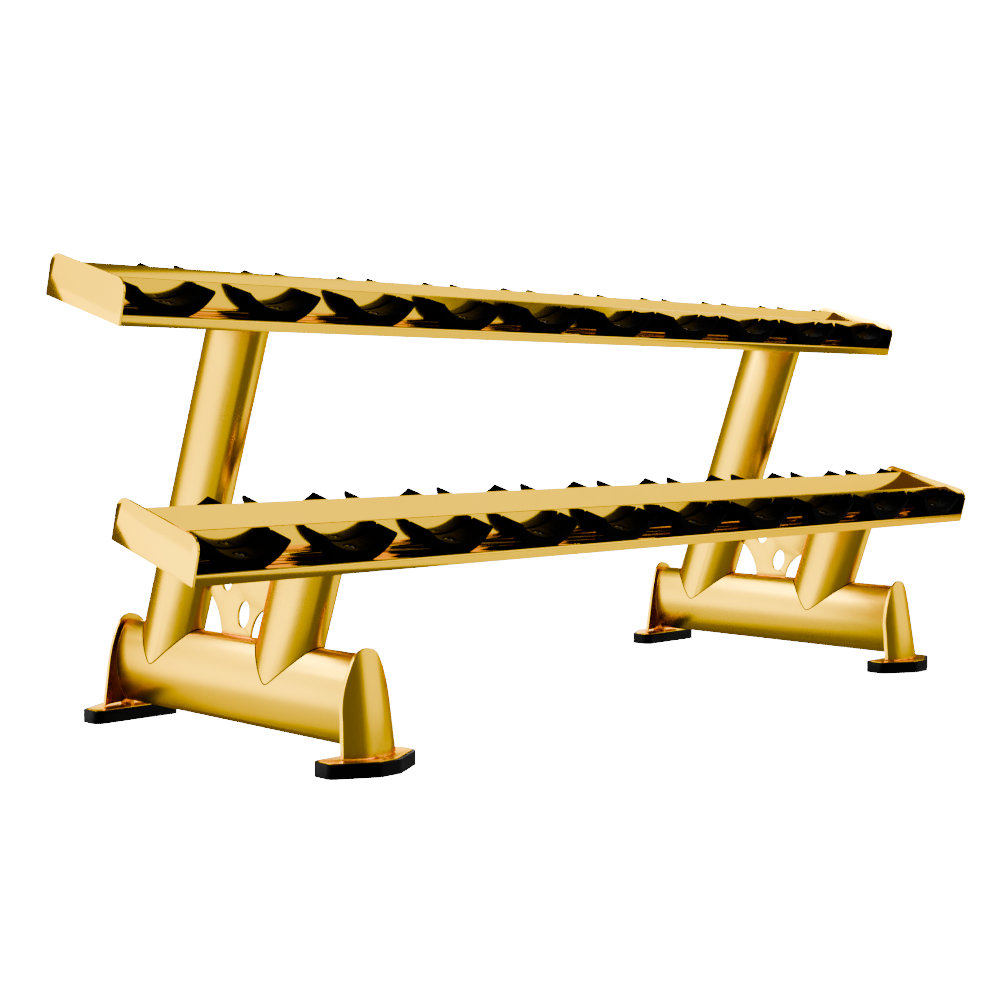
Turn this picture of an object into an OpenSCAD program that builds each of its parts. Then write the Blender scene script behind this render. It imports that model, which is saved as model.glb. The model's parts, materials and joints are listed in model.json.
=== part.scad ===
// Two-tier dumbbell rack for ten pairs of dumbbells.
// +X runs along the rack, +Y to its back, +Z up. The origin is the middle of the footprint, on the floor.
// Two side frames of oval tube carry two tilted shelves, and each shelf has a front and a rear rail of
// bent sheet with a row of moulded saddles. One front and one rear saddle hold one dumbbell.

/* [Shelves] */
// Length of the rack over the end plates
rack_len = 2300; // [2240:10:2400]
// Depth of a shelf, measured along its slope
shelf_depth = 248; // [240:1:260]
// Slope of the shelves, front edge low
shelf_tilt = 15; // [12:0.5:17]
// Height of the middle of the upper shelf's underside
upper_shelf_h = 790; // [760:5:850]
// Height of the middle of the lower shelf's underside
lower_shelf_h = 367; // [355:1:380]
// Height of an end plate, square to the slope
end_plate_h = 80.5; // [76:0.5:100]
// Thickness of an end plate
end_plate_t = 4; // [3:0.5:6]
// Corner radius of an end plate
end_plate_r = 25; // [10:1:35]
// Thickness of the rails' sheet steel
sheet_t = 3.5; // [3:0.5:4]
// Height of the rail floor above the shelf's underside
floor_h = 20.5; // [19:0.5:24]
// Height of the rail walls above the shelf's underside
wall_h = 73.5; // [70:0.5:75]
// Distance from the front edge to the front rail's wall
front_wall_u = 62; // [60:0.5:66]
// Distance from the rear edge to the top of the rear rail's sloping wall
rear_wall_back = 56.5; // [56:0.5:62]
// Lean of the rear rail's wall
rear_wall_lean = 32; // [20:1:36]

/* [Saddles] */
// Distance between neighbouring saddles
saddle_pitch = 232.3; // [200:0.1:233]
// Depth of a saddle along the slope
saddle_depth = 51; // [40:1:51]
// Distance from the middle of a saddle to the centre of a wing tip
tip_x = 78; // [74:1:80]
// Height of the wing tips' centres above the rail floor
tip_h = 44.7; // [42:0.1:46]
// Radius of the wing tips
tip_r = 4.2; // [3:0.1:5]
// Height of the cradle curve's centre above the wing tips
cradle_rise = 86.4; // [80:0.1:95]
// Height of the outer curve's centre above the wing tips
outer_rise = 41.6; // [38:0.1:42]

/* [Side frames] */
// Distance from the middle of the rack to a side frame
frame_x = 818; // [700:1:900]
// Long side of the oval tube
tube_long = 162; // [156:6:168]
// Short side of the oval tube
tube_wide = 78; // [72:6:84]
// Wall of the oval tube
tube_wall = 3; // [2:0.5:4]
// Height of the foot tube's axis
foot_tube_h = 117; // [112:1:125]
// Half of the foot tube's length, end caps included
foot_half = 362; // [358:1:364]
// Lean of the posts towards the front
post_lean = 20; // [18:0.5:22]
// Where the front post's axis meets the foot tube's axis
front_post_y = -127.5; // [-135:0.5:-120]
// Where the rear post's axis meets the foot tube's axis
rear_post_y = 242.5; // [235:0.5:250]
// Thickness of the gusset between the posts
gusset_t = 6; // [4:1:10]

/* [Feet] */
// Distance from the middle of the rack to the middle of a foot
foot_y = 386.25; // [384:0.25:390]
// Width of a rubber pad
pad_w = 194; // [186:1:200]
// Depth of a rubber pad
pad_d = 98.5; // [96:0.5:106]
// Length of a pad's straight ends
pad_end = 54; // [50:0.5:60]
// Width of a pad's outermost edge
pad_nose = 44; // [34:1:60]
// Height of a foot, from the floor to the top of its steel plate
foot_h = 26; // [24:1:30]
// Thickness of a foot's steel plate
foot_plate_t = 6; // [4:1:8]
// Width of the rubber rim around the steel plate
pad_rim = 7; // [5:0.5:9]
// Radius of the floor anchor hole
anchor_r = 6; // [4:0.5:7]
// Outer radius of the curved foot shell
shell_r = 80; // [76:1:84]
// Thickness of the foot shell
shell_t = 6; // [4:0.5:8]
// Distance from the middle of the rack to the outside of the foot shell's lower end
shell_y = 405; // [403:1:406]
// Width of the foot shell's lower end
shell_w = 116; // [112:2:120]
// Width of the foot shell where its arched top begins
arch_w = 108; // [102:6:114]
// Height of the foot shell's tip above the floor
shell_top = 210; // [208:1:216]
// Lean of the foot shell towards the middle of the rack
shell_lean = 9.6; // [8:0.2:11]

/* [Hidden] */
$fn = 96;
eps = 0.01;
pieces_per_shelf = 10;
far = 600;

steel_paint = [0.86, 0.68, 0.12];
rubber_black = [0.07, 0.07, 0.07];
screw_grey = [0.45, 0.45, 0.47];

tube_half_l = tube_long / 2;
tube_half_w = tube_wide / 2;
// The posts are a hair narrower than the foot tube, so that their saddle cut closes cleanly.
post_inset = 0.2;
end_cap_t = 4;

// Shelves: a point of a shelf is (x, u, v), with u back along the slope and v square to it.
inner_half_len = rack_len / 2 - end_plate_t;
rear_wall_u = shelf_depth - rear_wall_back;
lip_bend_r = 5;
wall_bend_r = 4;

// Mounting plates between the posts and the rails, and their bolts.
mount_plate_t = 6;
mount_plate_w = 150;
mount_plate_top = floor_h - sheet_t;
mount_plate_low = mount_plate_top - mount_plate_t;
mount_margin = 9;
bolt_dx = 24;
bolt_u = [28, shelf_depth - 28];
bolt_r = 5;
bolt_clear_r = 5.5;
bolt_head_r = 16 / sqrt(3);
bolt_head_h = 6.4;

// Saddles.
saddle_gap = 5.5;
front_saddle_u = front_wall_u - saddle_gap - saddle_depth;
rear_saddle_u = shelf_depth - saddle_depth;
tip_v = floor_h + tip_h;
cradle_r = norm([tip_x, cradle_rise]) - tip_r;
outer_r = norm([tip_x, outer_rise]) + tip_r;
cradle_low = tip_v + cradle_rise - cradle_r;
// Where a wing tip's arc runs into the cradle and into the outer curve.
tip_inner = [tip_x, tip_v] + tip_r * [-tip_x, cradle_rise] / (cradle_r + tip_r);
tip_outer = [tip_x, tip_v] + tip_r * [tip_x, -outer_rise] / (outer_r - tip_r);

// Saddle screws.
screw_r = 5;
screw_clear_r = 5.5;
screw_head_r = 10.5;
screw_head_h = 4.5;
screw_dome_r = 18;
screw_seat_r = 12;
screw_seat_deep = 3;
socket_af = 7;
socket_deep = 3;
nut_af = 16;
nut_h = 8;
screw_tail = 2;
nut_clear_r = 12;

// Feet.
pad_corner_r = 20;
arc_steps = 8;
shell_gap = 2;
shell_depth = 48;
arch_h = 120;
web_t = 8;
web_top = 190;
anchor_y = 418;

// Gusset between the posts, in the plane of a side frame, as (y, z).
gusset_rear_arc = [153, 193, 100];
gusset_front_arc = [-107, 188, 69];
gusset_holes = [[-17, 238], [32.3, 303.5]];
gusset_hole_l = 51;
gusset_hole_w = 33;
gusset_hole_sides = [3, 4, 5];
weld_gap = 0.2;

// ---- Places ----

// X of a saddle station, counted from the left, from 1.
function station_x(i) = (i - (pieces_per_shelf + 1) / 2) * saddle_pitch;

// Height of the middle of a shelf's underside, and where the post's axis meets it.
function shelf_z(tier) = tier == "upper" ? upper_shelf_h : lower_shelf_h;
function post_y(tier) = tier == "upper" ? rear_post_y : front_post_y;
function shelf_y(tier) = post_y(tier) - (shelf_z(tier) - foot_tube_h) * tan(post_lean);

// Puts something drawn as (x, u, v) onto a shelf.
module on_shelf(tier)
    translate([0, shelf_y(tier), shelf_z(tier)])
        rotate([shelf_tilt, 0, 0])
            translate([0, -shelf_depth / 2, 0])
                children();

// Puts something drawn around +Z onto a post's axis, with the foot tube's axis at the origin.
module on_post(tier)
    translate([0, post_y(tier), foot_tube_h])
        rotate([post_lean, 0, 0])
            children();

// Puts something drawn at the front foot onto the front (-1) or rear (1) foot.
module at_foot(end)
    mirror([0, end > 0 ? 1 : 0, 0])
        children();

// Puts something drawn around +Z onto the axis of the front foot's leaning shell.
module on_shell_axis()
    translate([0, -shell_y, foot_h])
        rotate([-shell_lean, 0, 0])
            translate([0, shell_r, 0])
                children();

// ---- Outlines ----

// Oval of four arcs with its long side along Y, drawn inset from its outer face. The arcs meet without a
// corner: between the centres of an end arc and a side arc lies a right triangle with the given whole sides,
// in the order along Y, along X and across.
module oval(half_l, half_w, inset = 0, sides = [8, 15, 17]) {
    unit = (half_l - half_w) / (sides.x + sides.y - sides.z);
    end_r = half_w - (sides.z - sides.y) * unit - inset;
    side_x = sides.y * unit;
    end_y = sides.x * unit;
    intersection() {
        translate([side_x, 0])
            circle(r = half_w + side_x - inset, $fn = 360);
        translate([-side_x, 0])
            circle(r = half_w + side_x - inset, $fn = 360);
        union() {
            square([4 * half_w, 2 * (end_y + end_r * sides.x / sides.z)], center = true);
            for (s = [-1, 1])
                translate([0, s * end_y])
                    circle(r = end_r);
        }
    }
}

module tube_outline(inset = 0)
    oval(tube_half_l, tube_half_w, inset);

// Quarter of a ring or disc, turned from the first quadrant.
module quarter_ring(r_in, r_out, turn)
    rotate(turn)
        intersection() {
            difference() {
                circle(r = r_out);
                if (r_in > 0)
                    circle(r = r_in);
            }
            square(r_out);
        }

// Points along an arc, both ends included.
function arc_points(centre, r, from, to) =
    [for (k = [0 : arc_steps])
        let (turn = from + (to - from) * k / arc_steps)
        centre + r * [cos(turn), sin(turn)]];

// Corner of a closed outline, rounded to radius r by an arc of points.
function corner_arc(before, at, after, r) =
    let (a = (before - at) / norm(before - at), b = (after - at) / norm(after - at),
        half = acos(a * b) / 2, axis = (a + b) / norm(a + b),
        middle = atan2(-axis.y, -axis.x),
        swing = a.x * b.y - a.y * b.x > 0 ? half - 90 : 90 - half)
    arc_points(at + axis * r / sin(half), r, middle - swing, middle + swing);

function rounded(points, r) =
    let (n = len(points))
    [for (i = [0 : n - 1]) each corner_arc(points[(i + n - 1) % n], points[i], points[(i + 1) % n], r)];

// Six-sided outline of a foot, drawn inset from the rubber's outer face: a straight edge towards the middle
// of the rack, straight ends, and long diagonals to a narrow outermost edge.
module foot_outline(inset = 0) {
    half_w = pad_w / 2 - inset;
    half_d = pad_d / 2 - inset;
    slant = atan2(pad_d - pad_end, (pad_w - pad_nose) / 2);
    nose = pad_nose / 2 - inset * tan(slant / 2);
    end_y = pad_d / 2 - pad_end + inset * tan(45 - slant / 2);
    polygon(rounded([[half_w, end_y], [half_w, half_d], [-half_w, half_d], [-half_w, end_y],
        [-nose, -half_d], [nose, -half_d]], pad_corner_r - inset));
}

// Section of the front rail as (u, v): down flange, floor and upright wall.
module front_rail_section() {
    square([sheet_t, floor_h - lip_bend_r]);
    translate([lip_bend_r, floor_h - lip_bend_r])
        quarter_ring(lip_bend_r - sheet_t, lip_bend_r, 90);
    translate([lip_bend_r, floor_h - sheet_t])
        square([front_wall_u - wall_bend_r - lip_bend_r, sheet_t]);
    translate([front_wall_u - wall_bend_r, floor_h + wall_bend_r])
        quarter_ring(wall_bend_r, wall_bend_r + sheet_t, 270);
    translate([front_wall_u, floor_h + wall_bend_r])
        square([sheet_t, wall_h - floor_h - wall_bend_r]);
}

// Section of the rear rail as (u, v): sloping wall, floor and down flange.
module rear_rail_section() {
    bend_r = wall_bend_r + sheet_t;
    rise = wall_h - floor_h - wall_bend_r;
    run = (sin(rear_wall_lean) * rise - bend_r) / cos(rear_wall_lean);
    bend_centre = [rear_wall_u - run, floor_h + wall_bend_r];
    wall_turn = 180 - rear_wall_lean;
    wall_top = [rear_wall_u, wall_h];
    polygon([each arc_points(bend_centre, bend_r, 270, wall_turn),
        wall_top,
        wall_top + sheet_t * [cos(rear_wall_lean), -sin(rear_wall_lean)],
        each arc_points(bend_centre, wall_bend_r, wall_turn, 270),
        [shelf_depth - lip_bend_r, floor_h],
        [shelf_depth - lip_bend_r, floor_h - sheet_t]]);
    translate([shelf_depth - lip_bend_r, floor_h - lip_bend_r])
        quarter_ring(lip_bend_r - sheet_t, lip_bend_r, 0);
    translate([shelf_depth - sheet_t, 0])
        square([sheet_t, floor_h - lip_bend_r]);
}

// Outline of a saddle as (x, v): a boat shape with a flat base and rounded wing tips.
module saddle_outline()
    intersection() {
        difference() {
            translate([0, tip_v + outer_rise])
                circle(r = outer_r, $fn = 180);
            translate([0, tip_v + cradle_rise])
                circle(r = cradle_r, $fn = 180);
        }
        union() {
            polygon([[-tip_outer.x, tip_outer.y], [-tip_inner.x, tip_inner.y], tip_inner, tip_outer,
                [outer_r, tip_outer.y], [outer_r, floor_h], [-outer_r, floor_h], [-outer_r, tip_outer.y]]);
            for (s = [-1, 1])
                translate([s * tip_x, tip_v])
                    circle(r = tip_r);
        }
    }

// ---- Side frames ----

module foot_tube_solid(inset = 0, half = foot_half)
    translate([0, half, foot_tube_h])
        rotate([90, 0, 0])
            linear_extrude(height = 2 * half)
                tube_outline(inset);

module foot_tube(side)
    color(steel_paint)
        translate([side * frame_x, 0, 0])
            difference() {
                foot_tube_solid(0, foot_half - end_cap_t);
                foot_tube_solid(tube_wall, foot_half);
            }

module tube_end_caps(side)
    color(steel_paint)
        for (end = [-1, 1])
            translate([side * frame_x, 0, 0])
                at_foot(end)
                    translate([0, -foot_half + end_cap_t, foot_tube_h])
                        rotate([90, 0, 0])
                            linear_extrude(height = end_cap_t)
                                tube_outline();

// A post is coped over the foot tube and cut off along the underside of its mounting plate.
module post(side, tier)
    color(steel_paint)
        translate([side * frame_x, 0, 0])
            difference() {
                on_post(tier)
                    linear_extrude(height = far + far / 2)
                        difference() {
                            tube_outline(post_inset);
                            tube_outline(tube_wall);
                        }
                foot_tube_solid();
                on_shelf(tier)
                    translate([-far / 2, -far, mount_plate_low])
                        cube([far, 2 * far, 2 * far]);
            }

module gusset(side)
    color(steel_paint)
        translate([side * frame_x - gusset_t / 2, 0, 0])
            rotate([90, 0, 90])
                linear_extrude(height = gusset_t)
                    gusset_outline();

// Outline of the gusset as (y, z), between the facing edges of the two posts.
module gusset_outline() {
    half_post = tube_half_l / cos(post_lean) + weld_gap;
    low = foot_tube_h + tube_half_l + weld_gap;
    shelf_line = shelf_z("lower") - shelf_y("lower") * tan(shelf_tilt) - 3;
    function front_edge(z) = front_post_y + half_post - (z - foot_tube_h) * tan(post_lean);
    function rear_edge(z) = rear_post_y - half_post - (z - foot_tube_h) * tan(post_lean);
    function meet(edge_y, k) = (shelf_line + edge_y * k) / (1 + tan(post_lean) * k);
    front_top_z = meet(front_edge(0), tan(shelf_tilt));
    rear_top_z = meet(rear_edge(0), tan(shelf_tilt));
    difference() {
        polygon([[front_edge(low), low], [rear_edge(low), low], [rear_edge(rear_top_z), rear_top_z],
            [front_edge(front_top_z), front_top_z]]);
        for (arc = [gusset_rear_arc, gusset_front_arc])
            translate([arc[0], arc[1]])
                circle(r = arc[2], $fn = 180);
        for (hole = gusset_holes)
            translate(hole)
                rotate(post_lean)
                    oval(gusset_hole_l / 2, gusset_hole_w / 2, 0, gusset_hole_sides);
    }
}

// ---- Feet ----

// Curved plate with an arched top around the end of the foot tube, just clear of the foot plate.
module foot_shell(side, end)
    color(steel_paint)
        translate([side * frame_x, 0, 0])
            at_foot(end)
                intersection() {
                    difference() {
                        on_shell_axis()
                            translate([0, 0, -shell_r])
                                cylinder(r = shell_r, h = shell_top + shell_r, $fn = 180);
                        on_shell_axis()
                            translate([0, 0, -shell_r])
                                cylinder(r = shell_r - shell_t, h = shell_top + shell_r + eps, $fn = 180);
                    }
                    translate([0, -shell_y + shell_depth, 0])
                        rotate([90, 0, 0])
                            linear_extrude(height = shell_r)
                                arch_outline();
                }

// Outline of the foot shell as (x, z): tapering sides and half an oval on top.
module arch_outline() {
    spring = shell_top - arch_h;
    polygon([[-shell_w / 2, foot_h + shell_gap], [shell_w / 2, foot_h + shell_gap], [arch_w / 2, spring],
        [-arch_w / 2, spring]]);
    intersection() {
        translate([0, spring])
            oval(arch_h, arch_w / 2);
        translate([-shell_w / 2, spring])
            square([shell_w, arch_h]);
    }
}

// Upright web on the foot plate, between the end of the foot tube and the inside of each shell.
module foot_webs(side)
    color(steel_paint)
        for (end = [-1, 1])
            translate([side * frame_x, 0, 0])
                at_foot(end)
                    intersection() {
                        translate([-web_t / 2, -shell_y - shell_r, foot_h])
                            cube([web_t, shell_y + shell_r - foot_half, web_top - foot_h]);
                        on_shell_axis()
                            translate([0, 0, -shell_r])
                                cylinder(r = shell_r - shell_t, h = shell_top + shell_r, $fn = 180);
                    }

module foot_plate(side, end)
    color(steel_paint)
        translate([side * frame_x, 0, 0])
            at_foot(end)
                difference() {
                    translate([0, -foot_y, foot_h - foot_plate_t])
                        linear_extrude(height = foot_plate_t)
                            foot_outline(pad_rim);
                    anchor_hole();
                }

module foot_pad(side, end)
    color(rubber_black)
        translate([side * frame_x, 0, 0])
            at_foot(end)
                difference() {
                    translate([0, -foot_y, 0])
                        linear_extrude(height = foot_h - 1)
                            foot_outline();
                    translate([0, -foot_y, foot_h - foot_plate_t])
                        linear_extrude(height = foot_plate_t)
                            foot_outline(pad_rim);
                    anchor_hole();
                }

module anchor_hole()
    translate([0, -anchor_y, -1])
        cylinder(r = anchor_r, h = foot_h + 2);

// ---- Shelves ----

module mount_plate(side, tier)
    color(steel_paint)
        on_shelf(tier)
            difference() {
                translate([side * frame_x - mount_plate_w / 2, mount_margin, mount_plate_low])
                    cube([mount_plate_w, shelf_depth - 2 * mount_margin, mount_plate_t]);
                for (u = bolt_u, dx = [-1, 1])
                    translate([side * frame_x + dx * bolt_dx, u, mount_plate_low - 1])
                        cylinder(r = bolt_clear_r, h = mount_plate_t + 2);
                for (i = [1 : pieces_per_shelf], u = screw_places())
                    if (abs(station_x(i) - side * frame_x) < mount_plate_w / 2 + nut_clear_r)
                        translate([station_x(i), u, mount_plate_low - 1])
                            cylinder(r = nut_clear_r, h = mount_plate_t + 2);
            }

module rail(tier, row)
    color(steel_paint)
        on_shelf(tier)
            difference() {
                translate([-inner_half_len, 0, 0])
                    rotate([90, 0, 90])
                        linear_extrude(height = 2 * inner_half_len)
                            rail_section(row);
                rail_holes(row);
            }

module rail_section(row)
    if (row == 0)
        front_rail_section();
    else
        rear_rail_section();

// Holes in a rail's floor for the saddle screws and for the bolts to the mounting plates.
module rail_holes(row) {
    for (i = [1 : pieces_per_shelf])
        translate([station_x(i), screw_places()[row], floor_h - 2 * sheet_t])
            cylinder(r = screw_clear_r, h = 3 * sheet_t);
    for (s = [-1, 1], dx = [-1, 1])
        translate([s * frame_x + dx * bolt_dx, bolt_u[row], floor_h - 2 * sheet_t])
            cylinder(r = bolt_r, h = 3 * sheet_t);
}

module end_plate(side, tier)
    color(steel_paint)
        on_shelf(tier)
            translate([side > 0 ? inner_half_len : -rack_len / 2, 0, 0])
                rotate([90, 0, 90])
                    linear_extrude(height = end_plate_t)
                        end_plate_outline();

// Outline of an end plate as (u, v), with its two upper corners rounded.
module end_plate_outline() {
    square([shelf_depth, end_plate_h - end_plate_r]);
    translate([end_plate_r, end_plate_h - end_plate_r])
        square([shelf_depth - 2 * end_plate_r, end_plate_r]);
    translate([end_plate_r, end_plate_h - end_plate_r])
        quarter_ring(0, end_plate_r, 90);
    translate([shelf_depth - end_plate_r, end_plate_h - end_plate_r])
        quarter_ring(0, end_plate_r, 0);
}

// ---- Saddles and fasteners ----

function screw_places() = [front_saddle_u + saddle_depth / 2, rear_saddle_u + saddle_depth / 2];

module saddle_pair(tier, i)
    color(rubber_black)
        on_shelf(tier)
            for (u = screw_places())
                translate([station_x(i), u, 0])
                    saddle();

// One saddle, with its screw hole at x = 0, u = 0.
module saddle()
    difference() {
        translate([0, saddle_depth / 2, 0])
            rotate([90, 0, 0])
                linear_extrude(height = saddle_depth)
                    saddle_outline();
        cylinder(r = screw_clear_r, h = cradle_low);
        translate([0, 0, cradle_low - screw_seat_deep])
            cylinder(r = screw_seat_r, h = cradle_r);
    }

module at_screws()
    for (tier = ["upper", "lower"], u = screw_places(), i = [1 : pieces_per_shelf])
        on_shelf(tier)
            translate([station_x(i), u, 0])
                children();

// Domed socket screw through a saddle and the rail's floor.
module saddle_screw() {
    seat = cradle_low - screw_seat_deep;
    low = floor_h - sheet_t - nut_h - screw_tail;
    difference() {
        union() {
            translate([0, 0, low])
                cylinder(r = screw_r, h = seat - low);
            intersection() {
                translate([0, 0, seat])
                    cylinder(r = screw_head_r, h = screw_head_h);
                translate([0, 0, seat + screw_head_h - screw_dome_r])
                    sphere(r = screw_dome_r);
            }
        }
        translate([0, 0, seat + screw_head_h - socket_deep])
            cylinder(r = socket_af / sqrt(3), h = screw_head_h, $fn = 6);
    }
}

module saddle_screws()
    color(screw_grey)
        at_screws()
            saddle_screw();

module saddle_nuts()
    color(screw_grey)
        at_screws()
            translate([0, 0, floor_h - sheet_t - nut_h])
                difference() {
                    cylinder(r = nut_af / sqrt(3), h = nut_h, $fn = 6);
                    translate([0, 0, -1])
                        cylinder(r = screw_r, h = nut_h + 2);
                }

module shelf_bolts()
    color(screw_grey)
        for (tier = ["upper", "lower"], s = [-1, 1], dx = [-1, 1], u = bolt_u)
            on_shelf(tier)
                translate([s * frame_x + dx * bolt_dx, u, mount_plate_low - bolt_head_h]) {
                    cylinder(r = bolt_head_r, h = bolt_head_h, $fn = 6);
                    cylinder(r = bolt_r, h = bolt_head_h + mount_plate_t + sheet_t);
                }

// ---- Assembly ----

foot_tube(-1);  // left_foot_tube
foot_tube(1);  // right_foot_tube
tube_end_caps(-1);  // left_tube_end_caps
tube_end_caps(1);  // right_tube_end_caps
post(-1, "lower");  // left_front_post
post(-1, "upper");  // left_rear_post
post(1, "lower");  // right_front_post
post(1, "upper");  // right_rear_post
gusset(-1);  // left_gusset
gusset(1);  // right_gusset
foot_shell(-1, -1);  // left_front_foot_shell
foot_shell(-1, 1);  // left_rear_foot_shell
foot_shell(1, -1);  // right_front_foot_shell
foot_shell(1, 1);  // right_rear_foot_shell
foot_webs(-1);  // left_foot_webs
foot_webs(1);  // right_foot_webs
foot_plate(-1, -1);  // left_front_foot_plate
foot_plate(-1, 1);  // left_rear_foot_plate
foot_plate(1, -1);  // right_front_foot_plate
foot_plate(1, 1);  // right_rear_foot_plate
foot_pad(-1, -1);  // left_front_foot_pad
foot_pad(-1, 1);  // left_rear_foot_pad
foot_pad(1, -1);  // right_front_foot_pad
foot_pad(1, 1);  // right_rear_foot_pad
mount_plate(-1, "upper");  // upper_left_mount_plate
mount_plate(1, "upper");  // upper_right_mount_plate
mount_plate(-1, "lower");  // lower_left_mount_plate
mount_plate(1, "lower");  // lower_right_mount_plate
rail("upper", 0);  // upper_front_rail
rail("upper", 1);  // upper_rear_rail
rail("lower", 0);  // lower_front_rail
rail("lower", 1);  // lower_rear_rail
end_plate(-1, "upper");  // upper_left_end_plate
end_plate(1, "upper");  // upper_right_end_plate
end_plate(-1, "lower");  // lower_left_end_plate
end_plate(1, "lower");  // lower_right_end_plate
saddle_pair("upper", 1);  // upper_saddle_pair_01
saddle_pair("upper", 2);  // upper_saddle_pair_02
saddle_pair("upper", 3);  // upper_saddle_pair_03
saddle_pair("upper", 4);  // upper_saddle_pair_04
saddle_pair("upper", 5);  // upper_saddle_pair_05
saddle_pair("upper", 6);  // upper_saddle_pair_06
saddle_pair("upper", 7);  // upper_saddle_pair_07
saddle_pair("upper", 8);  // upper_saddle_pair_08
saddle_pair("upper", 9);  // upper_saddle_pair_09
saddle_pair("upper", 10);  // upper_saddle_pair_10
saddle_pair("lower", 1);  // lower_saddle_pair_01
saddle_pair("lower", 2);  // lower_saddle_pair_02
saddle_pair("lower", 3);  // lower_saddle_pair_03
saddle_pair("lower", 4);  // lower_saddle_pair_04
saddle_pair("lower", 5);  // lower_saddle_pair_05
saddle_pair("lower", 6);  // lower_saddle_pair_06
saddle_pair("lower", 7);  // lower_saddle_pair_07
saddle_pair("lower", 8);  // lower_saddle_pair_08
saddle_pair("lower", 9);  // lower_saddle_pair_09
saddle_pair("lower", 10);  // lower_saddle_pair_10
saddle_screws();
saddle_nuts();
shelf_bolts();
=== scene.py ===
import json
import math

import bpy
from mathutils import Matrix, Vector


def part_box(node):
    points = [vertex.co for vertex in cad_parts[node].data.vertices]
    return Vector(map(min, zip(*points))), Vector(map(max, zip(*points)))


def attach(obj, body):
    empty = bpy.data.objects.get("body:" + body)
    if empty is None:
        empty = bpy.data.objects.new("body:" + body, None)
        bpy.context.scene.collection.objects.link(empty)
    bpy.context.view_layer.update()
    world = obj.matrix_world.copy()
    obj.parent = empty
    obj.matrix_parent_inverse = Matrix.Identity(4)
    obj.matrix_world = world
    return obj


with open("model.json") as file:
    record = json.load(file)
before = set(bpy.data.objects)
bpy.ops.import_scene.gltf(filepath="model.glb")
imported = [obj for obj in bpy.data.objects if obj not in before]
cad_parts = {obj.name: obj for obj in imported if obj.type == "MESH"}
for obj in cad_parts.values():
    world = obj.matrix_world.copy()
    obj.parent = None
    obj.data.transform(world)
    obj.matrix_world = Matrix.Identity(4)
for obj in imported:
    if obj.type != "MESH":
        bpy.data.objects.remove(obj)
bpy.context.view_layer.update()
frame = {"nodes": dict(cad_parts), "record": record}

nodes = frame["nodes"]
scene = bpy.context.scene


# ---- Materials: every one is made of noise in the object's own space ----

# Edge wear starts and is full where the cosine between the true and the rounded normal is this.
WEAR_STARTS = 0.97
WEAR_FULL = 0.7
WEAR_SAMPLES = 4


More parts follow.
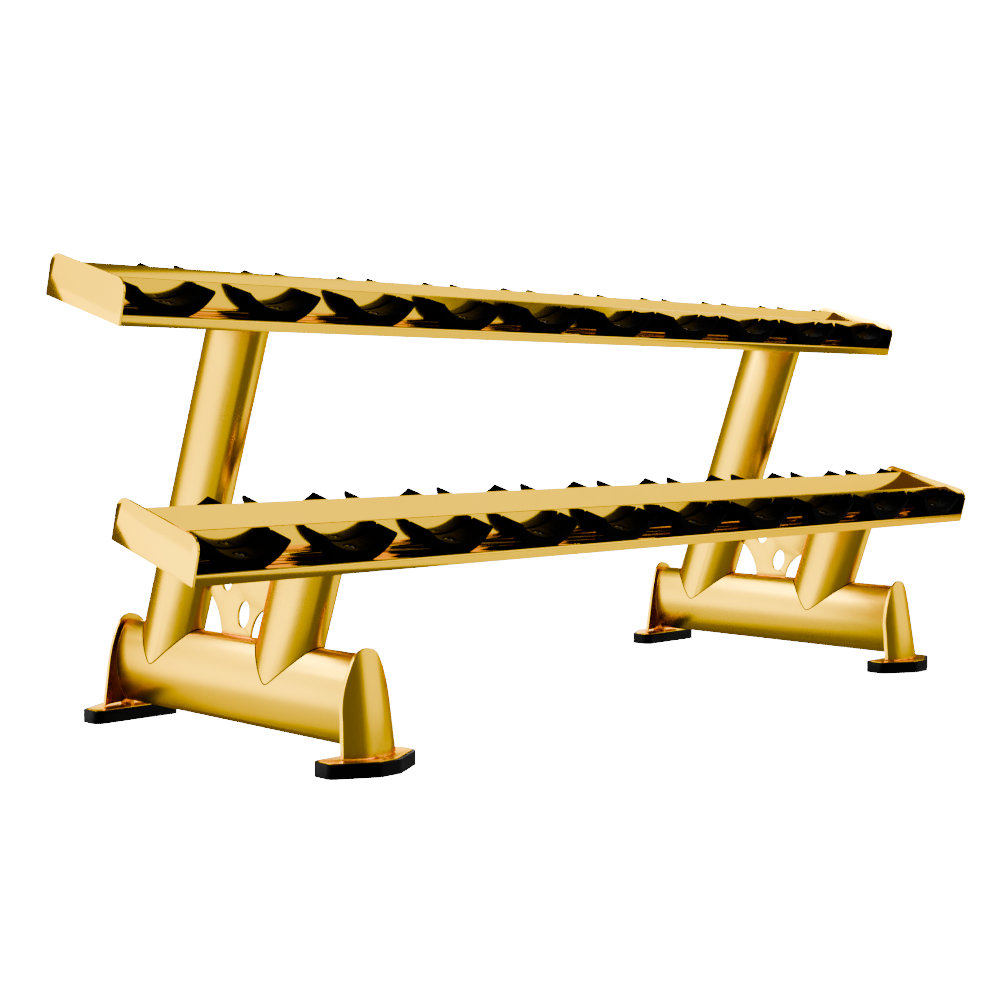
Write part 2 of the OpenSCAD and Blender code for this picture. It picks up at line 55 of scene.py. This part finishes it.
class Shader:
    """A Principled material with a few short ways to feed its sockets."""

    def __init__(self, name):
        self.material = bpy.data.materials.new(name)
        self.material.use_nodes = True
        self.tree = self.material.node_tree
        self.tree.nodes.clear()
        self.out = self.tree.nodes.new("ShaderNodeOutputMaterial")
        self.body = self.tree.nodes.new("ShaderNodeBsdfPrincipled")
        self.link(self.body.outputs[0], self.out.inputs["Surface"])
        self.place = self.tree.nodes.new("ShaderNodeTexCoord").outputs["Object"]

    def link(self, source, target):
        self.tree.links.new(source, target)

    def fixed(self, **values):
        """Sets numbers and colours that are the same all over the surface."""
        for name, value in values.items():
            self.body.inputs[name.replace("_", " ")].default_value = value

    def stretched(self, scale):
        """The object's space, stretched differently along its axes."""
        node = self.tree.nodes.new("ShaderNodeMapping")
        node.inputs["Scale"].default_value = scale
        self.link(self.place, node.inputs["Vector"])
        return node.outputs["Vector"]

    def noise(self, scale, detail, roughness, place=None):
        """Cloudy noise, in the object's space or in a stretched copy of it."""
        node = self.tree.nodes.new("ShaderNodeTexNoise")
        node.inputs["Scale"].default_value = scale
        node.inputs["Detail"].default_value = detail
        node.inputs["Roughness"].default_value = roughness
        self.link(place or self.place, node.inputs["Vector"])
        return node.outputs["Fac"]

    def cells(self, scale):
        """Distance from the middle of the nearest of many small cells."""
        node = self.tree.nodes.new("ShaderNodeTexVoronoi")
        node.inputs["Scale"].default_value = scale
        self.link(self.place, node.inputs["Vector"])
        return node.outputs["Distance"]

    def between(self, value, low, high, to_low=0.0, to_high=1.0):
        """value carried from low..high to to_low..to_high, and held there outside."""
        node = self.tree.nodes.new("ShaderNodeMapRange")
        node.inputs["From Min"].default_value = low
        node.inputs["From Max"].default_value = high
        node.inputs["To Min"].default_value = to_low
        node.inputs["To Max"].default_value = to_high
        self.link(value, node.inputs["Value"])
        return node.outputs["Result"]

    def math(self, operation, a, b):
        """The named operation on two values, each a socket or a number."""
        node = self.tree.nodes.new("ShaderNodeMath")
        node.operation = operation
        for value, socket in ((a, node.inputs[0]), (b, node.inputs[1])):
            if isinstance(value, (int, float)):
                socket.default_value = value
            else:
                self.link(value, socket)
        return node.outputs[0]

    def mixed(self, amount, a, b):
        """Colour a where amount is 0 and colour b where it is 1; each is a socket or red, green, blue."""
        node = self.tree.nodes.new("ShaderNodeMix")
        node.data_type = "RGBA"
        self.link(amount, node.inputs["Factor"])
        for value, socket in ((a, node.inputs[6]), (b, node.inputs[7])):
            if isinstance(value, tuple):
                socket.default_value = (*value, 1.0)
            else:
                self.link(value, socket)
        return node.outputs[2]

    def edges(self, radius):
        """0 on flat or gently curved ground, rising to 1 on an outer or inner edge."""
        bevel = self.tree.nodes.new("ShaderNodeBevel")
        bevel.samples = WEAR_SAMPLES
        bevel.inputs["Radius"].default_value = radius
        geometry = self.tree.nodes.new("ShaderNodeNewGeometry")
        dot = self.tree.nodes.new("ShaderNodeVectorMath")
        dot.operation = "DOT_PRODUCT"
        self.link(bevel.outputs[0], dot.inputs[0])
        self.link(geometry.outputs["Normal"], dot.inputs[1])
        return self.between(dot.outputs["Value"], WEAR_STARTS, WEAR_FULL)

    def bump(self, *layers):
        """Adds bump layers one on another, each (height, distance in metres, strength)."""
        normal = None
        for height, distance, strength in layers:
            node = self.tree.nodes.new("ShaderNodeBump")
            node.inputs["Distance"].default_value = distance
            node.inputs["Strength"].default_value = strength
            self.link(height, node.inputs["Height"])
            if normal is not None:
                self.link(normal, node.inputs["Normal"])
            normal = node.outputs[0]
        self.link(normal, self.body.inputs["Normal"])

    def feed(self, value, socket):
        """Drives one of the shader's sockets with another node's output."""
        self.link(value, self.body.inputs[socket])


GOLD = (0.93, 0.595, 0.035)
GOLD_DEEP = (0.89, 0.56, 0.028)
GOLD_RUBBED = (0.96, 0.67, 0.10)
GOLD_AT_GRAZING = (0.93, 0.62, 0.06)


def gold_paint(name, rough_low, rough_high):
    """Satin gold powder coat: mica flakes, orange peel, slow mottling, edges a little rubbed."""
    s = Shader(name)
    mottle = s.noise(scale=5.0, detail=4.0, roughness=0.55)
    cloud = s.noise(scale=38.0, detail=3.0, roughness=0.5)
    peel = s.noise(scale=240.0, detail=2.0, roughness=0.4)
    flake = s.cells(scale=1400.0)
    ground = s.mixed(s.between(mottle, 0.3, 0.7), GOLD_DEEP, GOLD)
    sparkle = s.between(flake, 0.0, 0.5, to_low=0.10, to_high=0.0)
    ground = s.mixed(sparkle, ground, GOLD_RUBBED)
    patchy = s.between(cloud, 0.42, 0.62, to_low=0.1, to_high=0.5)
    rub = s.math("MULTIPLY", s.edges(radius=0.0012), patchy)
    s.feed(s.mixed(rub, ground, GOLD_RUBBED), "Base Color")
    slow_rough = s.between(mottle, 0.25, 0.75, to_low=rough_low, to_high=rough_high)
    fine_rough = s.between(cloud, 0.3, 0.7, to_low=-0.01, to_high=0.01)
    rough = s.math("ADD", slow_rough, fine_rough)
    s.feed(s.math("SUBTRACT", rough, s.math("MULTIPLY", rub, 0.06)), "Roughness")
    s.fixed(Metallic=1.0, Specular_Tint=(*GOLD_AT_GRAZING, 1.0), Coat_Weight=0.02, Coat_Roughness=0.12)
    s.bump((peel, 0.00004, 0.05), (flake, 0.00002, 0.03))
    return s.material


# Near-black tones of the painted shadow lines in the joints at the posts' feet.
SHADOW_LINE_DEEP = (0.004, 0.002, 0.0005)
SHADOW_LINE_PALER = (0.010, 0.005, 0.001)


def shadow_line_paint():
    """Painted shade for a narrow joint: near black, mottled between two dark tones."""
    s = Shader("joint_shade")
    shadow_mottle = s.noise(scale=160.0, detail=3.0, roughness=0.6)
    s.feed(s.mixed(s.between(shadow_mottle, 0.3, 0.7), SHADOW_LINE_DEEP, SHADOW_LINE_PALER), "Base Color")
    s.feed(s.between(shadow_mottle, 0.3, 0.7, to_low=0.5, to_high=0.65), "Roughness")
    return s.material


SADDLE_DEEP = (0.0015, 0.0015, 0.0016)
SADDLE_PALE = (0.003, 0.003, 0.0032)
SADDLE_SCUFFED = (0.02, 0.02, 0.021)


def saddle_plastic():
    """Moulded black urethane: fine spark-eroded grain, a little paler along scuffed edges."""
    s = Shader("saddle_urethane")
    grain = s.noise(scale=1500.0, detail=2.0, roughness=0.6)
    flow = s.noise(scale=26.0, detail=5.0, roughness=0.6, place=s.stretched((1.0, 3.0, 3.0)))
    scuff = s.noise(scale=95.0, detail=6.0, roughness=0.7, place=s.stretched((0.5, 2.5, 2.5)))
    ground = s.mixed(s.between(flow, 0.3, 0.7), SADDLE_DEEP, SADDLE_PALE)
    patchy = s.between(scuff, 0.45, 0.7, to_low=0.15, to_high=1.0)
    rub = s.math("MULTIPLY", s.edges(radius=0.002), patchy)
    s.feed(s.mixed(s.math("MULTIPLY", rub, 0.4), ground, SADDLE_SCUFFED), "Base Color")
    s.feed(s.between(scuff, 0.3, 0.75, to_low=0.38, to_high=0.52), "Roughness")
    s.fixed(Specular_IOR_Level=0.04)
    s.bump((grain, 0.00008, 0.35), (flow, 0.0004, 0.08))
    return s.material


RUBBER_DEEP = (0.003, 0.003, 0.003)
RUBBER_DUSTY = (0.006, 0.006, 0.0062)


def foot_rubber():
    """Black rubber: fine stipple and a slow bloom of dusty grey."""
    s = Shader("pad_rubber")
    stipple = s.cells(scale=900.0)
    bloom = s.noise(scale=30.0, detail=5.0, roughness=0.65)
    s.feed(s.mixed(s.between(bloom, 0.35, 0.75), RUBBER_DEEP, RUBBER_DUSTY), "Base Color")
    s.feed(s.between(bloom, 0.3, 0.7, to_low=0.42, to_high=0.6), "Roughness")
    s.fixed(Specular_IOR_Level=0.2)
    s.bump((stipple, 0.0002, 0.25), (bloom, 0.0005, 0.08))
    return s.material


BLACK_OXIDE = (0.10, 0.10, 0.105)
ZINC = (0.46, 0.46, 0.48)


def plated_steel(name, tone, rough):
    """Zinc-plated or blackened steel: turned marks and a faint cloudiness."""
    s = Shader(name)
    cloud = s.noise(scale=260.0, detail=4.0, roughness=0.6)
    marks = s.noise(scale=2200.0, detail=2.0, roughness=0.5, place=s.stretched((1.0, 1.0, 0.12)))
    dark = tuple(0.7 * c for c in tone)
    s.feed(s.mixed(s.between(cloud, 0.3, 0.7), dark, tone), "Base Color")
    s.feed(s.between(marks, 0.3, 0.7, to_low=rough - 0.06, to_high=rough + 0.08), "Roughness")
    s.fixed(Metallic=1.0)
    s.bump((marks, 0.00005, 0.2))
    return s.material


materials = {
    "frame_paint": gold_paint("frame_gold", rough_low=0.27, rough_high=0.30),
    "shelf_paint": gold_paint("shelf_gold", rough_low=0.10, rough_high=0.12),
    "saddle": saddle_plastic(),
    "foot_rubber": foot_rubber(),
    "screws": plated_steel("screw_black_oxide", BLACK_OXIDE, rough=0.30),
    "nuts_and_bolts": plated_steel("bolt_zinc", ZINC, rough=0.38),
}

# ---- CAD nodes: finishes, and edges broken by a modifier ----

WELD_WITHIN = 0.00001
EDGE_SEGMENTS = 3
BROKEN_FROM = math.radians(35)
EDGE_RADIUS = {
    "frame_paint": 0.0008,
    "shelf_paint": 0.0006,
    "saddle": 0.0011,
    "foot_rubber": 0.0028,
    "screws": 0.0003,
    "nuts_and_bolts": 0.0004,
}

slot_of = {part["node"]: part["material_slot"] for part in frame["record"]["subparts"]}


def finish_node(name, node):
    """Gives a CAD node its slot's material, smooth faces and broken edges."""
    slot = slot_of[name]
    node.data.materials.clear()
    node.data.materials.append(materials[slot])
    node.data.polygons.foreach_set("use_smooth", [True] * len(node.data.polygons))
    weld = node.modifiers.new("one skin", "WELD")
    weld.merge_threshold = WELD_WITHIN
    bevel = node.modifiers.new("broken edges", "BEVEL")
    bevel.width = EDGE_RADIUS[slot]
    bevel.segments = EDGE_SEGMENTS
    bevel.limit_method = "ANGLE"
    bevel.angle_limit = BROKEN_FROM
    bevel.harden_normals = True


for name, node in nodes.items():
    finish_node(name, node)

# ---- Painted shadow lines: thin dark curves where the posts stand on the foot tubes ----

TUBE_LOW, TUBE_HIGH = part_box("right_foot_tube")
FRAME_X = (TUBE_LOW.x + TUBE_HIGH.x) / 2
TUBE_AXIS_H = (TUBE_LOW.z + TUBE_HIGH.z) / 2
POST_LEAN = math.radians(20)
# Where the axes of the front and the rear post cross the foot tube's axis.
POST_FEET_Y = (-0.1275, 0.2425)
SHADOW_LINE_R = 0.0011
SHADOW_LINE_ROUNDNESS = 2
# Steps along each half of the line.
SHADOW_LINE_STEPS = 48

# The tubes' oval: two end arcs, and two side arcs that meet them OVAL_TURN_X away from the long axis.
OVAL_HALF_W = (TUBE_HIGH.x - TUBE_LOW.x) / 2
OVAL_END_Y = 0.056
OVAL_END_R = 0.025
OVAL_SIDE_X = 0.105
OVAL_SIDE_R = OVAL_SIDE_X + OVAL_HALF_W
OVAL_TURN_X = 0.022
# The posts' oval is this much smaller all round.
POST_INSET = 0.0002


def oval_half(x, inset):
    """Half length of the tubes' oval at a distance x from its long axis."""
    if abs(x) <= OVAL_TURN_X:
        return OVAL_END_Y + math.sqrt((OVAL_END_R - inset) ** 2 - x * x)
    return math.sqrt(max((OVAL_SIDE_R - inset) ** 2 - (abs(x) + OVAL_SIDE_X) ** 2, 0.0))


def seam_point(x, along):
    """Where the post's line at (x, along) across its section meets the top of the foot tube."""
    rise = (oval_half(x, 0.0) - along * math.sin(POST_LEAN)) / math.cos(POST_LEAN)
    y = along * math.cos(POST_LEAN) - rise * math.sin(POST_LEAN)
    return x, y, TUBE_AXIS_H + oval_half(x, 0.0)


def painted_shadow_line(name, shade, side, post_y):
    """Thin closed dark curve round the foot of one post, a painted shadow line: side is -1 or 1, post_y
    its place along the tube.
    """
    loop = []
    for half in (1, -1):
        for k in range(SHADOW_LINE_STEPS):
            x = half * (OVAL_HALF_W - POST_INSET) * math.cos(math.pi * k / SHADOW_LINE_STEPS)
            loop.append(seam_point(x, half * oval_half(x, POST_INSET)))
    curve = bpy.data.curves.new(name, "CURVE")
    curve.dimensions = "3D"
    curve.bevel_depth = SHADOW_LINE_R
    curve.bevel_resolution = SHADOW_LINE_ROUNDNESS
    line = curve.splines.new("POLY")
    line.points.add(len(loop) - 1)
    for spot, (x, y, z) in zip(line.points, loop):
        spot.co = (side * FRAME_X + x, post_y + y, z, 1.0)
    line.use_cyclic_u = True
    shadow_curve = bpy.data.objects.new(name, curve)
    scene.collection.objects.link(shadow_curve)
    curve.materials.append(shade)
    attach(shadow_curve, "root")


# The dark curves round the posts' feet are painted shadow lines in the joints.
seam_shade = shadow_line_paint()
for side, hand in ((-1, "left"), (1, "right")):
    for post_y, place in zip(POST_FEET_Y, ("front", "rear")):
        painted_shadow_line(f"{hand}_{place}_post_shadow_line", seam_shade, side, post_y)

# ---- Stage: a pale floor, and white past its edge ----

FLOOR_PALE = (0.74, 0.74, 0.74)
FLOOR_GREY = (0.70, 0.70, 0.70)
FLOOR_GLOW = 9.0
FLOOR_HALF = 30.0
ROOM_GLOW = 0.18
BACKDROP_GLOW = 14.0


def floor_paint():
    """Pale matt floor that the camera sees nearly white."""
    s = Shader("pale_floor")
    grain = s.noise(scale=14.0, detail=4.0, roughness=0.5)
    s.feed(s.mixed(s.between(grain, 0.3, 0.7), FLOOR_GREY, FLOOR_PALE), "Base Color")
    s.fixed(Roughness=0.85)
    glow = s.tree.nodes.new("ShaderNodeEmission")
    glow.inputs["Strength"].default_value = FLOOR_GLOW
    both = s.tree.nodes.new("ShaderNodeAddShader")
    ray = s.tree.nodes.new("ShaderNodeLightPath")
    pick = s.tree.nodes.new("ShaderNodeMixShader")
    s.link(s.body.outputs[0], both.inputs[0])
    s.link(glow.outputs[0], both.inputs[1])
    s.link(ray.outputs["Is Camera Ray"], pick.inputs[0])
    s.link(s.body.outputs[0], pick.inputs[1])
    s.link(both.outputs[0], pick.inputs[2])
    s.link(pick.outputs[0], s.out.inputs["Surface"])
    return s.material


bpy.ops.mesh.primitive_plane_add(size=2 * FLOOR_HALF, location=(0, 0, 0))
floor = bpy.context.object
floor.name = "floor"
floor.data.materials.append(floor_paint())
# The rack doesn't reflect the floor, and the softboxes below its level shine through it.
floor.visible_glossy = False
floor.visible_shadow = False


def background(tree, strength):
    """White light of that strength from all round."""
    node = tree.nodes.new("ShaderNodeBackground")
    node.inputs["Color"].default_value = (1, 1, 1, 1)
    node.inputs["Strength"].default_value = strength
    return node


def studio_world():
    """Dim all round, but white where the camera looks past the floor."""
    world = bpy.data.worlds.new("studio")
    world.use_nodes = True
    tree = world.node_tree
    tree.nodes.clear()
    out = tree.nodes.new("ShaderNodeOutputWorld")
    room = background(tree, ROOM_GLOW)
    seen = background(tree, BACKDROP_GLOW)
    ray = tree.nodes.new("ShaderNodeLightPath")
    pick = tree.nodes.new("ShaderNodeMixShader")
    tree.links.new(ray.outputs["Is Camera Ray"], pick.inputs[0])
    tree.links.new(room.outputs[0], pick.inputs[1])
    tree.links.new(seen.outputs[0], pick.inputs[2])
    tree.links.new(pick.outputs[0], out.inputs["Surface"])
    return world


scene.world = studio_world()

# ---- Lights: softboxes on a big sphere round the rack ----

LIGHT_DISTANCE = 12.0
LIGHT_CENTRE_H = 0.5


def softbox(name, azimuth, elevation, width, height, radiance):
    """Area light far off, aimed at the rack. Azimuth 0 is behind it (+Y), 90 is its right end (+X).
    width and height are the degrees it spans, seen from the rack."""
    a, e = math.radians(azimuth), math.radians(elevation)
    away = Vector((math.sin(a) * math.cos(e), math.cos(a) * math.cos(e), math.sin(e)))
    light = bpy.data.lights.new(name, "AREA")
    light.shape = "RECTANGLE"
    light.size = 2 * LIGHT_DISTANCE * math.tan(math.radians(width / 2))
    light.size_y = 2 * LIGHT_DISTANCE * math.tan(math.radians(height / 2))
    light.energy = radiance * math.pi * light.size * light.size_y
    lamp = bpy.data.objects.new(name, light)
    scene.collection.objects.link(lamp)
    lamp.location = away * LIGHT_DISTANCE + Vector((0, 0, LIGHT_CENTRE_H))
    lamp.rotation_mode = "QUATERNION"
    lamp.rotation_quaternion = away.to_track_quat("Z", "Y")
    lamp.visible_camera = False


# Name; azimuth, elevation, width and height in degrees; radiance.
SOFTBOXES = (
    ("left panel", -46, 9, 50, 18, 1.8),
    ("left panel low", -46, -8, 50, 16, 2.4),
    ("left panel top", -53, 27, 38, 18, 6.0),
    ("left fringe", -86, -6, 26, 44, 0.4),
    ("left floor", -45, -28, 48, 24, 0.75),
    ("back right panel", 41, 0, 34, 32, 3.0),
    ("front right panel", 140, 18, 70, 50, 1.1),
    ("front right floor", 130, -27, 80, 26, 0.85),
    ("right panel", 88, 8, 30, 40, 0.4),
    ("right strip", 70, 41, 14, 6, 4.0),
    ("ceiling", 0, 85, 60, 60, 0.25),
)

for light_facts in SOFTBOXES:
    softbox(*light_facts)

# ---- Camera: level, its frame shifted to take in the rack ----

CAMERA_AT = (-2.7404, -2.6928, 0.6201)
VIEW_TURN = math.radians(45.6)
SENSOR_MM = 36.0
LENS_MM = 62.96
SHIFT_X = -0.0499
SHIFT_Y = -0.0914

camera_data = bpy.data.cameras.new("camera")
camera_data.sensor_width = SENSOR_MM
camera_data.lens = LENS_MM
camera_data.shift_x = SHIFT_X
camera_data.shift_y = SHIFT_Y
camera = bpy.data.objects.new("camera", camera_data)
camera.location = CAMERA_AT
camera.rotation_euler = (math.radians(90), 0, -VIEW_TURN)
scene.collection.objects.link(camera)
scene.camera = camera

scene.view_settings.view_transform = "AgX"
scene.view_settings.look = "AgX - High Contrast"
